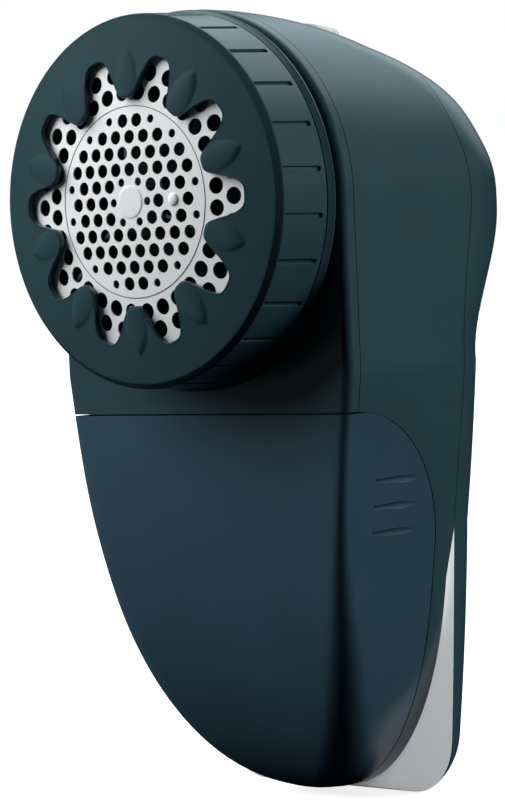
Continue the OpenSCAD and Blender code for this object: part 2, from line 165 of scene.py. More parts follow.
def front_outline(h, inset=0):
    """Right half of the front at height h, from the middle of the face back to the strip."""
    w = max(float(half_w(h)) - inset, 0.4)
    y = float(front_y(h)) + inset
    r = min(max(float(fillet(h)) - inset, 0.3), 0.9 * w)
    arc = corner(w - r, y + r, r, -90, 0, 25)
    return np.vstack([[[0, y]], arc, [[w, max(MID_Y, y + r) + 0.1]]])


def back_outline(h, inset=0):
    """Right half of the body at height h, from the side round to the middle of the back."""
    w = max(float(back_w(h)) - inset, 0.02)
    y = float(rear_y(h)) - inset
    r = max(min(CORNER_R - inset, 0.95 * w, y - FACE_Y - 2), 0.01)
    return np.vstack([[[w, FACE_Y + 1.7]], corner(w - r, y - r, r, 0, 90, 61), [[0, y]]])


def resample(points, count, y_from=None, y_to=None, turn_weight=5.0):
    """count points along an outline between two depths, closer together where it bends."""
    step = np.diff(points, axis=0)
    angle = np.unwrap(np.arctan2(step[:, 1], step[:, 0]))
    bend = np.r_[0, np.abs(np.diff(angle))] * turn_weight
    way = np.r_[0, np.cumsum(np.hypot(step[:, 0], step[:, 1]) + bend + 1e-9)]
    start = way[0] if y_from is None else np.interp(y_from, points[:, 1], way)
    stop = way[-1] if y_to is None else np.interp(y_to, points[:, 1], way)
    at = np.linspace(start, stop, count)
    return np.c_[np.interp(at, way, points[:, 0]), np.interp(at, way, points[:, 1])]


def even_heights(low, high, count):
    """Heights that are evenly spaced along the outer edge of the front."""
    fine = low + (high - low) * (1 - np.cos(np.linspace(0, np.pi / 2, 4000)))
    way = np.r_[0, np.cumsum(np.hypot(np.hypot(np.diff(half_w(fine)), np.diff(fine)),
                                      np.diff(front_y(fine))))]
    return np.interp(np.linspace(0, way[-1], count), way, fine)


def bin_edge(h):
    """Depth of the seam behind the lint bin at height h."""
    up = np.clip((h - (CHIN_H - BIN_TOP_H)) / BIN_TOP_H, 0, 1)
    return np.where(h > CHIN_H, PLATE_Y, PLATE_Y + BIN_TOP_W * np.sqrt(1 - up ** 2))


BIN_CORNER = [CHIN_H - BIN_TOP_H * (1 - math.cos(a)) for a in np.radians(np.linspace(90, 0, 36))]


# ---- meshes ----------------------------------------------------------------------------------------

def new_object(name, bm, sharp=35):
    """A smooth-shaded object from a bmesh in millimetres, with edges sharper than sharp degrees."""
    bmesh.ops.scale(bm, vec=(MM, MM, MM), verts=bm.verts)
    mesh = bpy.data.meshes.new(name)
    bm.to_mesh(mesh)
    bm.free()
    return finish_mesh(name, mesh, sharp)


def finish_mesh(name, mesh, sharp=35):
    mesh.shade_smooth()
    mesh.set_sharp_from_angle(angle=math.radians(sharp))
    made = bpy.data.objects.new(name, mesh)
    bpy.context.scene.collection.objects.link(made)
    return made


def loops_to_bmesh(loops, closed=True, ring=False, caps=(False, False)):
    """Quads between successive loops of points. closed joins each loop's ends, ring the last
    loop to the first, and caps fill the first and the last loop with one face each."""
    bm = bmesh.new()
    rows = [[bm.verts.new(p) for p in loop] for loop in loops]
    count = len(rows[0])
    pairs = list(zip(rows, rows[1:])) + ([(rows[-1], rows[0])] if ring else [])
    for a, b in pairs:
        for k in range(count if closed else count - 1):
            n = (k + 1) % count
            bm.faces.new((a[k], a[n], b[n], b[k]))
    if caps[0]:
        bm.faces.new(rows[0][::-1])
    if caps[1]:
        bm.faces.new(rows[-1])
    bmesh.ops.remove_doubles(bm, verts=bm.verts, dist=0.002)
    bmesh.ops.dissolve_degenerate(bm, dist=0.0005, edges=bm.edges)
    return bm


def solid(name, loops, **kind):
    bm = loops_to_bmesh(loops, **kind)
    bmesh.ops.recalc_face_normals(bm, faces=bm.faces)
    return new_object(name, bm)


def modified(made, sharp=35):
    """Replaces an object's mesh by what its modifiers make of it."""
    bpy.context.view_layer.update()
    graph = bpy.context.evaluated_depsgraph_get()
    mesh = bpy.data.meshes.new_from_object(made.evaluated_get(graph))
    made.modifiers.clear()
    made.data = mesh
    mesh.shade_smooth()
    mesh.set_sharp_from_angle(angle=math.radians(sharp))
    return made


def boolean(made, tool, operation="DIFFERENCE", keep_tool=False):
    """Cuts, joins or intersects one closed mesh with another."""
    change = made.modifiers.new("cut", "BOOLEAN")
    change.operation = operation
    change.solver = "EXACT"
    change.object = tool
    modified(made)
    if not keep_tool:
        bpy.data.objects.remove(tool)
    return made


def thicken(made, thickness):
    change = made.modifiers.new("wall", "SOLIDIFY")
    change.thickness = thickness * MM
    change.offset = -1
    change.use_even_offset = True
    return modified(made)


def block(low, high):
    """A plain box used as a cutter, in millimetres."""
    x, y, z = zip(low, high)
    loops = [[(x[0], y[0], h), (x[1], y[0], h), (x[1], y[1], h), (x[0], y[1], h)] for h in z]
    return solid("cutter", loops, caps=(True, True))


def turned(name, profile, place, steps=96, sharp=35, closed_profile=False):
    """A body of revolution: profile is (radius, depth) and place maps (x, y, depth) points."""
    around = np.linspace(0, 2 * np.pi, steps, endpoint=False)
    loops = [[place(r * math.cos(a), r * math.sin(a), d) for a in around] for r, d in profile]
    bm = loops_to_bmesh(loops, ring=closed_profile, caps=(not closed_profile, not closed_profile))
    bmesh.ops.recalc_face_normals(bm, faces=bm.faces)
    return new_object(name, bm, sharp)


def on_head(x, y, depth):
    """A point drawn around the head's axis, with depth running backwards."""
    return (x, FOIL_Y + depth, AXIS_H + y)


def on_switch(x, y, z):
    """A point drawn on the switch's track."""
    c, s = math.cos(SWITCH_SLOPE), math.sin(SWITCH_SLOPE)
    return (x, FOIL_Y + 46 + y * c + z * s, AXIS_H + 29.9 - y * s + z * c)


def mirrored_row(half, h):
    """A row of points across the body from its right half, which starts at the middle."""
    left = [(-x, y, h) for x, y in half[::-1]]
    return left + [(x, y, h) for x, y in half[1:]]


# ---- lint bin --------------------------------------------------------------------------------------

def bin_solid(inset):
    """The closed form of the lint bin, moved inwards by inset."""
    low = even_heights(0.52, BIN_CORNER[0], 90)[:-1]
    heights = [h for h in [*low, *BIN_CORNER] if h > 0.5 + inset]
    loops = []
    for h in heights:
        edge = float(bin_edge(h)) - BIN_GAP - inset
        half = resample(front_outline(h, inset), 40, y_to=max(edge, float(front_y(h)) + inset + 0.2))
        wide, deep = half[-1]
        step = max(wide - 3.4, 0.1)
        back = [(x, deep - 0.5) for x in np.linspace(step, -step, 8)]
        top = min(h, CHIN_H - inset - BIN_GAP)
        loops.append(mirrored_row(half, top) + [(x, y, top) for x, y in back])
    return solid("lint_bin", loops, caps=(True, True))


def grip_cutter(side, k):
    """A slanted round-ended rod that leaves a finger grip, deep in front and fading to the rear."""
    h = FINGER_TOP_H - FINGER_STEP * k
    wide = float(half_w(h))
    start = Vector((side * (wide - 0.50), FINGER_Y[0], h))
    stop = Vector((side * (wide + 0.68), FINGER_Y[1], h + 0.1))
    along = (stop - start).normalized()
    across = along.cross(Vector((0, 0, 1))).normalized()
    up = across.cross(along)
    loops = []
    for a in np.radians(np.linspace(-88, 0, 8)):
        loops.append((start + along * FINGER_R * math.sin(a), FINGER_R * math.cos(a)))
    loops.append((stop, FINGER_R))
    rings = [[c + (across * math.cos(q) + up * math.sin(q)) * r
              for q in np.linspace(0, 2 * np.pi, 20, endpoint=False)] for c, r in loops]
    return solid("cutter", rings, caps=(True, True))


def grip_dimple(side, k):
    """A round pit, square to the surface, that ends each finger grip in front."""
    h = FINGER_TOP_H - FINGER_STEP * k
    edge = front_outline(h)
    y, near = FINGER_Y[0], 0.3
    ahead, x, behind = np.interp((y - near, y, y + near), edge[:, 1], edge[:, 0])
    out = Vector((2 * near, ahead - behind, 0)).normalized()
    along = Vector((-out.y, out.x, 0))
    around = np.linspace(0, 2 * np.pi, 24, endpoint=False)
    rings = []
    for off, r in ((-1.0, 0.6 * PIT_R), (-0.8, 0.914 * PIT_R), (1.5, PIT_R)):
        centre = Vector((x, y, h)) + out * off
        rows = [centre + along * r * math.cos(a) + Vector((0, 0, r * math.sin(a))) for a in around]
        rings.append([(side * q.x, q.y, q.z) for q in rows])
    return solid("cutter", rings, caps=(True, True))


def make_bin():
    made = boolean(bin_solid(0), bin_solid(WALL))
    boolean(made, block((-14, PLATE_Y + 1.7, CHIN_H - 6), (14, PLATE_Y + 13.7, CHIN_H + 6)))
    for side in (-1, 1):
        for k in range(3):
            boolean(made, grip_cutter(side, k))
            boolean(made, grip_dimple(side, k))
    made.name = "lint_bin"
    return made


# ---- front plate, side body and rear cover -------------------------------------------------------------

def make_front_plate():
    low = CHIN_H - 6
    side = np.linspace(low, AXIS_H, 40)
    over = np.radians(np.linspace(0, 180, 120)[1:-1])

    def outline(inset):
        right = [(float(half_w(h)) - inset, h) for h in side]
        r = HEAD_R - inset
        head = [(r * math.cos(a), AXIS_H + r * math.sin(a)) for a in over]
        return right + head + [(-x, h) for x, h in right[::-1]]

    back = PLATE_Y - SEAM / 2
    bend = np.radians(np.linspace(0, 90, 12))
    profile = [(0, back)] + [(EDGE_R * (1 - math.cos(a)), FACE_Y + EDGE_R * (1 - math.sin(a))) for a in bend]
    loops = [[(x, y, h) for x, h in outline(inset)] for inset, y in profile]
    made = solid("front_casing", loops, caps=(True, True))
    boolean(made, block((-50, FACE_Y - 9, low - 9), (50, PLATE_Y + 9, CHIN_H + SEAM / 2)))
    hole = turned("cutter", [(29.8, 10), (29.8, 30)], on_head, 160)
    return boolean(made, hole)


def half_x(h, y):
    """Half width of the upper body at height h and depth y."""
    w = half_w(h)
    rear = rear_y(h)
    r = np.maximum(np.minimum(np.minimum(CORNER_R, 0.95 * w), rear - FACE_Y - 2), 0.01)
    past = np.clip(y - (rear - r), 0, None)
    bent = w - r + np.sqrt(np.maximum(r * r - past * past, 0))
    return np.where(y > rear, -1.0, np.where(past > 0, bent, w))


def over_top(angle, y):
    """Distance from the head's axis to the surface in direction angle, at depth y."""
    near, far = np.zeros_like(y), np.full_like(y, HEAD_R)
    for _ in range(40):
        mid = (near + far) / 2
        inside = mid * abs(math.cos(angle)) <= half_x(AXIS_H + mid * math.sin(angle), y)
        near, far = np.where(inside, mid, near), np.where(inside, far, mid)
    return near


def back_edge(angle, low, high):
    """Depth at which the surface in direction angle meets the rear seam."""
    for _ in range(40):
        mid = (low + high) / 2
        h = AXIS_H + float(over_top(angle, np.array([mid]))[0]) * math.sin(angle)
        low, high = (mid, high) if mid < float(seam_y(h)) else (low, mid)
    return low


def make_side_body():
    share = np.linspace(0, 1, 56)
    right = []
    heights = [*even_heights(0.52, BIN_CORNER[0], 80)[:-1], *BIN_CORNER,
               *np.linspace(CHIN_H, AXIS_H, 34)[1:]]
    for h in heights:
        start = float(bin_edge(h)) + SEAM / 2
        stop = float(seam_y(h)) - SEAM / 2
        y = start + (stop - start) * share
        x = np.full_like(y, float(half_w(h))) if h < SPLIT_H else half_x(h, y)
        right.append([(a, b, h) for a, b in zip(x, y)])
    top = []
    for angle in np.radians(np.linspace(0, 180, 121)[1:-1]):
        stop = back_edge(angle, PLATE_Y, BACK_Y + 6) - SEAM / 2
        y = PLATE_Y + SEAM / 2 + (stop - PLATE_Y - SEAM / 2) * share
        r = over_top(angle, y)
        top.append([(a * math.cos(angle), b, AXIS_H + a * math.sin(angle)) for a, b in zip(r, y)])
    left = [[(-x, y, h) for x, y, h in row] for row in right[::-1]]
    bm = loops_to_bmesh(right + top + left, closed=False, ring=True)
    bmesh.ops.recalc_face_normals(bm, faces=bm.faces)
    made = new_object("side_casing", bm)
    if sum(p.normal.dot(p.center - Vector((0, p.center.y, AXIS_H * MM))) for p in made.data.polygons) < 0:
        made.data.flip_normals()
    thicken(made, 1.6)
    corners = ((-2.4, -6.4), (2.4, -6.4), (2.4, 4.4), (-2.4, 4.4))
    slot = [[on_switch(x, y, z) for x, y in corners] for z in (-6, 6)]
    return boolean(made, solid("cutter", slot, caps=(True, True)))


def rear_solid(inset):
    """The closed form behind the rear seam, moved inwards by inset."""
    top = 0.0
    for h in np.linspace(AXIS_H + 20, AXIS_H + HEAD_R - 1, 4000):
        if float(rear_y(h)) - inset > float(seam_y(h)) + 0.02:
            top = h
    bottom = HEEL_H * (1 - np.sin(np.linspace(np.pi / 2, 0, 18)))
    low = [*bottom[:-1], *np.linspace(HEEL_H, SPLIT_H, 26)[:-1], *np.linspace(SPLIT_H, AXIS_H, 40)[:-1]]
    cap = AXIS_H + (top - AXIS_H) * np.sin(np.linspace(0, np.pi / 2, 44))
    loops = []
    for h in [*low, *cap]:
        start = max(float(seam_y(h)), BACK_Y) + SEAM / 2 - (3 if inset else 0)
        outline = back_outline(h, inset)
        half = resample(outline, 48, y_from=min(start, outline[-1][1] - 0.005))
        row = [(x, y, max(h, inset)) for x, y in half]
        loops.append(row + [(-x, y, z) for x, y, z in row[::-1]])
    return solid("rear_casing", loops, caps=(True, True))


def screw_rods(radius, depth, length):
    """Round rods at the four screw places, starting depth behind the rear seam."""
    bm = bmesh.new()
    for x, h in SCREW_SPOTS:
        y = float(seam_y(h)) + depth
        place = Matrix.Translation((x, y + length / 2, h)) @ Matrix.Rotation(math.pi / 2, 4, "X")
        bmesh.ops.create_cone(bm, cap_ends=True, segments=40, radius1=radius, radius2=radius,
                              depth=length, matrix=place)
    return new_object("cutter", bm)


def make_rear_and_door():
    outer = rear_solid(0)
    posts = boolean(screw_rods(3.8, 0.3, 40), outer, "INTERSECT", keep_tool=True)
    shell = boolean(outer, rear_solid(WALL))
    wide, low, high = DOOR
    door = shell.copy()
    door.data = shell.data.copy()
    bpy.context.scene.collection.objects.link(door)
    boolean(door, block((-wide, BACK_Y + 7, low), (wide, BACK_Y + 40, high)), "INTERSECT")
    boolean(shell, posts, "UNION")
    boolean(shell, screw_rods(2.8, 6, 40))
    gap = 0.2
    boolean(shell, block((-wide - gap, BACK_Y + 7, low - gap), (wide + gap, BACK_Y + 40, high + gap)))
    shell.name, door.name = "rear_casing", "battery_lid"
    return shell, door


def make_lid_grip():
    """Raised ribs on the battery door, under its upper edge."""
    bm = bmesh.new()
    for k in range(5):
        h = 76 - 2.2 * k
        half = 7.5 - 0.8 * k
        y = float(rear_y(h)) + 0.05
        rings = []
        for x in np.linspace(-half, half, 25):
            swell = math.sqrt(max(1 - (x / half) ** 4, 0.0))
            rings.append([bm.verts.new((x, y + 0.42 * swell * math.sin(a), h + 0.5 * swell * math.cos(a)))
                          for a in np.linspace(0, 2 * np.pi, 12, endpoint=False)])
        for a, b in zip(rings, rings[1:]):
            for q in range(12):
                bm.faces.new((a[q], a[(q + 1) % 12], b[(q + 1) % 12], b[q]))
    bmesh.ops.remove_doubles(bm, verts=bm.verts, dist=0.004)
    bmesh.ops.recalc_face_normals(bm, faces=bm.faces)
    return new_object("lid_grip", bm)


def make_base():
    """The light piece at the lower end: a ruled face between the strip and the rear cover."""
    rows = []
    for t in np.linspace(0, 1, 60):
        front_h = 0.5 + (APEX_H - 0.5) * t ** 1.6
        back_h = SPLIT_H * t ** 1.9
        outline = back_outline(back_h)
        side = resample(outline, 2, y_from=BACK_Y)[0][0]
        a = np.array((float(half_w(front_h)), MID_Y, front_h))
        b = np.array((side, BACK_Y, back_h))
        outer = [a + (b - a) * s for s in np.linspace(0, 1, 9)]
        lift = 1.2 * max(1 - 4 * t, 0)
        inner = [(max(x - 1.5, 0.2), y, z + lift) for x, y, z in outer[::-1]]
        rows.append([tuple(p) for p in outer] + inner)
    left = [[(-x, y, z) for x, y, z in row] for row in rows[::-1]]
    return solid("base_piece", left + rows, caps=(True, True))


def make_bay_wall():
    """The wall behind and above the lint bin. Its middle stands forward, so that no light
    passes straight through the seam around the bin."""
    heights = [*even_heights(0.9, BIN_CORNER[0], 40)[:-1], *BIN_CORNER[:-1]]
    path = [(float(bin_edge(h)), h) for h in heights]
    path += [(y, CHIN_H) for y in np.linspace(PLATE_Y, FACE_Y + 2.6, 5)]
    path = np.array(path)
    along = np.gradient(path, axis=0)
    along /= np.hypot(along[:, 0], along[:, 1])[:, None]
    loops = []
    for (y, h), (dy, dh) in zip(path, along):
        wide = max(float(half_w(h)) - 1.7, 0.3)
        step = max(wide - 2.5, 0.15)
        row = []
        for x, off in ((-wide, 1.5), (-wide, 0.1), (-step - 0.1, 0.1), (-step, -0.35), (step, -0.35),
                       (step + 0.1, 0.1), (wide, 0.1), (wide, 1.5)):
            row.append((x, y + dh * off, h - dy * off))
        loops.append(row)
    made = solid("bay_wall", loops, caps=(True, True))
    return boolean(made, block((-14, PLATE_Y + 1.7, CHIN_H - 9), (14, PLATE_Y + 10.3, CHIN_H + 6)))


# ---- head --------------------------------------------------------------------------------------------

def star_r(a):
    c = math.cos(a * STAR_POINTS)
    return STAR_TONGUE_R + (STAR_TIP_R - STAR_TONGUE_R) * (0.5 + 0.5 * c * (1.5 - 0.5 * c * c))


def petal_height(r, a):
    """Height of the leaf-shaped bumps between the star's tips."""
    step = 2 * math.pi / STAR_POINTS
    near = (a / step) % 1.0 * step - step / 2
    along = (r * math.cos(near) - PETAL_R) / PETAL_LEN
    if abs(along) >= 1:
        return 0.0
    edge = PETAL_WID * (1 - along ** 2) ** 0.75
    aside = abs(r * math.sin(near)) / max(edge, 1e-6)
    if aside >= 1:
        return 0.0
    return PETAL_RISE * (0.62 + 0.38 * along) * (1 - aside ** 2) ** 0.7 * (1 - along ** 4) ** 0.5


def groove_depth(a, depth):
    """How far the grip grooves are cut into the band at angle a."""
    step = 2 * math.pi / GRIP_COUNT
    near = ((a / step) % 1.0 - 0.5) * step * 33
    reach = math.hypot(near, max(depth - GRIP_END, 0)) - GRIP_HALF
    return GRIP_DEPTH * float(smooth(-reach / 0.16))


def guard_loop(a):
    """One closed section through the guard at angle a."""
    inner = star_r(a)
    round_r = 0.3
    points = [(inner + round_r * (1 - math.cos(math.radians(t))),
               GUARD_RISE + DOME * inner ** 2 + round_r * (1 - math.sin(math.radians(t))))
              for t in np.linspace(0, 90, 5)]
    start = inner + round_r
    for s in np.linspace(0, 1, 46)[1:]:
        r = start + (31.9 - start) * s
        points.append((r, GUARD_RISE + DOME * r * r - petal_height(r, a)))
    # chamfer between the face and the grip band, a little rounded at both ends
    for r, d in ((31.98, 1.94), (32.06, 1.99), (32.14, 2.06), (32.5, 2.42), (32.86, 2.78), (32.93, 2.87),
                 (32.98, 3.0), (33.0, 3.2)):
        points.append((r, d))
    for d in [3.5, *np.linspace(4, 11.2, 9), *np.linspace(11.5, 12.9, 15), 13.3, 13.68]:
        points.append((33.02 + 0.044 * max(d - 3.5, 0) - groove_depth(a, d), d))
    points += [(33.22, 13.72), (33.22, 13.94), (33.5, 13.98), (33.62, 14.3), (33.85, 14.9),
               (GUARD_R, 15.15), (GUARD_R - 0.04, 15.42), (GUARD_R - 0.25, 15.58), (33.2, 15.6),
               (31.8, 15.6), (31.6, 15.4), (31.6, 8), (31.6, 3.6), (31.0, 3.0)]
    for s in np.linspace(0, 1, 12):
        r = 30.6 + (inner - 30.6) * s
        points.append((r, GUARD_RISE + GUARD_T + DOME * r * r))
    return [on_head(r * math.cos(a), r * math.sin(a), d) for r, d in points]


def make_guard():
    step = 360 / GRIP_COUNT
    even = np.arange(0, 360, 0.5)
    beside = (-0.87, -0.74, -0.6, 0.6, 0.74, 0.87)
    edges = [k * step + step / 2 + e for k in range(GRIP_COUNT) for e in beside]
    angles = np.unique(np.round(np.r_[even, edges], 3))
    bm = loops_to_bmesh([guard_loop(math.radians(a)) for a in angles], ring=True)
    bmesh.ops.recalc_face_normals(bm, faces=bm.faces)
    return new_object("star_guard", bm, 38)


def foil_hole_list():
    """Centre and radius of every hole in the foil."""
    row_h = HOLE_PITCH * math.sqrt(3) / 2
    rows = [(2, 4), (1.5, 3.5), (0, 4), (0.5, 3.5), (0, 2), (0.5, 0.5)]
    holes = set()
    for n, (first, last) in enumerate(rows):
        for up in (-1, 1):
            for side in (-1, 1):
                x = first
                while x <= last:
                    if not (n == 0 and side == 1 and x == 3):
                        place = (round(side * x * HOLE_PITCH, 4) + 0.0, round(up * n * row_h, 4) + 0.0)
                        holes.add((*place, HOLE_D / 2))
                    x += 1
    for k in range(6):
        a = k * math.pi / 3
        holes.add((1.22 * HOLE_PITCH * math.cos(a), 1.22 * HOLE_PITCH * math.sin(a), SMALL_HOLE_D / 2))
    for x, n in ((4.5, 1), (3, 4), (1.5, 5)):
        for side in (-1, 1):
            for up in (-1, 1):
                holes.add((side * x * HOLE_PITCH, up * n * row_h, SMALL_HOLE_D / 2))
    for k in range(RING_HOLES):
        for turn, r, d in ((0.5, 19.3, RING_HOLE_D - 0.1), (0, 22.75, RING_HOLE_D)):
            a = (k + turn) * 2 * math.pi / RING_HOLES
            holes.add((r * math.cos(a), r * math.sin(a), d / 2))
    return sorted(holes)


def make_foil():
    """The perforated sheet: a flat triangulation with round holes, then pressed into its dome."""
    holes = foil_hole_list()
    points, edges = [], []

    def ring(cx, cy, r, count):
        first = len(points)
        for k in range(count):
            a = 2 * math.pi * k / count
            points.append(Vector((cx + r * math.cos(a), cy + r * math.sin(a))))
            edges.append((first + k, first + (k + 1) % count))

    ring(0, 0, FOIL_R, 180)
    for x, y, r in holes:
        ring(x, y, r, 28)
    for k in range(12):
        r = 2.2 * (k + 0.5)
        for q in range(6 + 6 * k):
            a = 2 * math.pi * q / (6 + 6 * k)
            x, y = r * math.cos(a), r * math.sin(a)
            if all(math.hypot(x - hx, y - hy) > hr + 0.15 for hx, hy, hr in holes):
                points.append(Vector((x, y)))
    found, _, faces, _, _, _ = delaunay_2d_cdt(points, edges, [], 0, 1e-5)
    bm = bmesh.new()
    verts = [bm.verts.new(on_head(p.x, p.y, DOME * p.length_squared)) for p in found]
    for face in faces:
        x = sum(found[k].x for k in face) / len(face)
        y = sum(found[k].y for k in face) / len(face)
        inside = any(math.hypot(x - hx, y - hy) < hr for hx, hy, hr in holes)
        if not inside and math.hypot(x, y) < FOIL_R:
            bm.faces.new([verts[k] for k in face])
    bmesh.ops.delete(bm, geom=[v for v in bm.verts if not v.link_faces], context="VERTS")
    bmesh.ops.recalc_face_normals(bm, faces=bm.faces)
    made = new_object("perforated_foil", bm)
    if sum(p.normal.y for p in made.data.polygons) > 0:
        made.data.flip_normals()
    return thicken(made, FOIL_T)


def make_foil_painted_shade_line():
    """The fine raised line around the inner field of the foil, made black as painted shade along it."""
    r, lift = 16.85, 0.05
    dome = DOME * r * r
    profile = [(r - 0.07, dome + 0.02), (r - 0.05, dome - lift), (r + 0.05, dome - lift), (r + 0.07, dome + 0.02)]
    return turned("foil_painted_shade_line", profile, on_head, 180, closed_profile=True)


def make_boss():
    profile = [(0.02, -0.09), (2.2, -0.09), (2.7, -0.08), (2.84, -0.05), (2.9, 0.0), (2.9, 0.1), (0.02, 0.1)]
    return turned("foil_boss_cap", profile, on_head, 72)


def make_rivet():
    place_x = 3 * HOLE_PITCH

    def place(x, y, d):
        return on_head(x + place_x, y, d + DOME * place_x ** 2)

    bend = np.radians(np.linspace(2, 90, 12))
    profile = [(1.15 * math.sin(a), -0.43 * math.cos(a)) for a in bend] + [(1.15, 0.1), (0.02, 0.1)]
    return turned("pearl_rivet", profile, place, 40)


def make_switch():
    """The thumb slide: a rounded pad that grows thicker towards its rear end, with cross ribs."""
    levels = [(0.9, 0), (0.15, 0.05), (0, 0.2), (0, 0.6), (0.12, 0.8), (0.4, 0.93), (0.9, 0.99), (1.5, 1)]
    loops = []

    def top(y):
        return 1.7 + 1.4 * smooth((y + 3.6) / 9.6)

    for inset, up in levels:
        hx, hy, r = 6.8 - inset, 5.0 - inset, max(2.4 - inset, 0.5)
        loop = []
        corners = ((hx - r, hy - r, 0), (r - hx, hy - r, 90), (r - hx, r - hy, 180), (hx - r, r - hy, 270))
        for cx, cy, a0 in corners:
            for a in np.radians(np.linspace(a0, a0 + 90, 9)):
                y = cy + r * math.sin(a) + 1.3
                loop.append(on_switch(cx + r * math.cos(a), y, 0.5 + (top(y) - 0.5) * up))
        loops.append(loop)
    made = solid("thumb_slide", loops, caps=(True, True))
    for k in range(4):
        y = -1.5 + 1.7 * k
        rings = []
        for x in np.linspace(-4.4, 4.4, 9):
            rings.append([on_switch(x, y + 0.38 * math.cos(a), top(y) + 0.02 + 0.38 * math.sin(a))
                          for a in np.linspace(0, 2 * np.pi, 14, endpoint=False)])
        boolean(made, solid("cutter", rings, caps=(True, True)))
    return made


# ---- materials -----------------------------------------------------------------------------------------

def material(name, colour, rough, metal=0.0, spread=0.12, grain=900.0, bump=0.02, coat=0.0,
             specular=0.5, brushed=False):
    """A procedural material: slight colour and roughness variation and a fine surface grain."""
    made = bpy.data.materials.new(name)
    made.use_nodes = True
    nodes, links = made.node_tree.nodes, made.node_tree.links
    shader = nodes["Principled BSDF"]
    shader.inputs["Metallic"].default_value = metal
    shader.inputs["Coat Weight"].default_value = coat
    shader.inputs["Coat Roughness"].default_value = 0.12
    shader.inputs["Specular IOR Level"].default_value = specular
    place = nodes.new("ShaderNodeTexCoord")
    cloud = nodes.new("ShaderNodeTexNoise")
    cloud.inputs["Scale"].default_value = 55.0
    cloud.inputs["Detail"].default_value = 3.0
    links.new(place.outputs["Object"], cloud.inputs["Vector"])
    shade = nodes.new("ShaderNodeMix")
    shade.data_type = "RGBA"
    low = [c * (1 - spread) for c in colour]
    high = [min(c * (1 + spread), 1) for c in colour]
    shade.inputs[6].default_value = (*low, 1)
    shade.inputs[7].default_value = (*high, 1)
    links.new(cloud.outputs["Fac"], shade.inputs[0])
    links.new(shade.outputs[2], shader.inputs["Base Color"])
    fine = nodes.new("ShaderNodeTexNoise")
    fine.inputs["Scale"].default_value = grain
    fine.inputs["Detail"].default_value = 2.0
    if brushed:
        stretch = nodes.new("ShaderNodeMapping")
        stretch.inputs["Scale"].default_value = (1.0, 1.0, 14.0)
        links.new(place.outputs["Object"], stretch.inputs["Vector"])
        links.new(stretch.outputs["Vector"], fine.inputs["Vector"])
    else:
        links.new(place.outputs["Object"], fine.inputs["Vector"])
    rough_map = nodes.new("ShaderNodeMapRange")
    rough_map.inputs["To Min"].default_value = max(rough - 0.05, 0.02)
    rough_map.inputs["To Max"].default_value = rough + 0.05
    links.new(cloud.outputs["Fac"], rough_map.inputs["Value"])
    links.new(rough_map.outputs["Result"], shader.inputs["Roughness"])
    relief = nodes.new("ShaderNodeBump")
    relief.inputs["Strength"].default_value = bump
    relief.inputs["Distance"].default_value = 0.0002
    links.new(fine.outputs["Fac"], relief.inputs["Height"])
    links.new(relief.outputs["Normal"], shader.inputs["Normal"])
    return made


MATERIALS = {
    "body_plastic": material("teal_plastic", (0.019, 0.047, 0.058), 0.26, bump=0.05, specular=0.5),
    "bin_plastic": material("navy_plastic", (0.024, 0.053, 0.078), 0.22, bump=0.04, specular=0.5),
    "light_plastic": material("grey_plastic", (0.64, 0.66, 0.67), 0.34, spread=0.03, bump=0.05),
    "dark_plastic": material("black_plastic", (0.012, 0.013, 0.015), 0.45, bump=0.08),
    "white_plastic": material("offwhite_plastic", (0.72, 0.69, 0.62), 0.45, spread=0.04),
    "foil_steel": material("foil_steel", (0.84, 0.86, 0.87), 0.36, metal=0.1, spread=0.03, grain=1500,
                           bump=0.03, brushed=True),
    "steel": material("plain_steel", (0.56, 0.57, 0.58), 0.30, metal=1.0, spread=0.06, brushed=True),
    "blade_steel": material("blade_steel", (0.40, 0.41, 0.43), 0.25, metal=1.0, spread=0.06, brushed=True),
    "brass": material("pressed_brass", (0.66, 0.47, 0.18), 0.28, metal=1.0, spread=0.08),
    "bronze": material("sintered_bronze", (0.50, 0.32, 0.14), 0.45, metal=1.0, spread=0.12, bump=0.1),
    "copper_rotor": material("copper_winding", (0.45, 0.17, 0.08), 0.32, metal=0.9, spread=0.15, grain=2500,
                             bump=0.2, brushed=True),
    "magnet": material("ferrite", (0.05, 0.05, 0.055), 0.6, metal=0.3, bump=0.12),
    "cell_wrap": material("cell_wrap", (0.03, 0.035, 0.04), 0.25, coat=0.4),
    "rubber": material("rubber", (0.015, 0.015, 0.015), 0.8, bump=0.1),
    "rivet": material("pearl_rivet", (0.84, 0.84, 0.86), 0.18, spread=0.03, coat=0.8),
}


def paint(made, slot):
    made.data.materials.clear()
    made.data.materials.append(MATERIALS[slot])


def dress(made, body, slot, *nodes):
    """Gives a new piece its material, its body and the CAD nodes that it stands for."""
    paint(made, slot)
    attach(made, body)
    if nodes:
        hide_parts(*nodes)


for row in frame["record"]["subparts"]:
    paint(frame["nodes"][row["node"]], row["material_slot"])

dress(make_guard(), "guard", "body_plastic", "height_guard")
dress(make_foil(), "body", "foil_steel", "shaving_foil")
# the foil's fine line is coloured black as painted shade
dress(make_foil_painted_shade_line(), "body", "dark_plastic")
dress(make_boss(), "body", "foil_steel", "foil_boss")
dress(make_rivet(), "body", "rivet", "foil_rivet")
dress(make_bin(), "bin", "bin_plastic", "lint_collector")
dress(make_front_plate(), "body", "body_plastic", "front_plate")
dress(make_side_body(), "body", "body_plastic", "side_body")
rear_shell, lid = make_rear_and_door()
dress(rear_shell, "body", "body_plastic", "rear_cover")
dress(lid, "door", "body_plastic", "battery_door")
dress(make_lid_grip(), "door", "body_plastic")
base = make_base()
dress(base, "body", "light_plastic", "battery_tray")
dress(make_bay_wall(), "body", "body_plastic")
dress(make_switch(), "switch", "light_plastic", "switch_button")


# ---- floor, light and camera -----------------------------------------------------------------------------

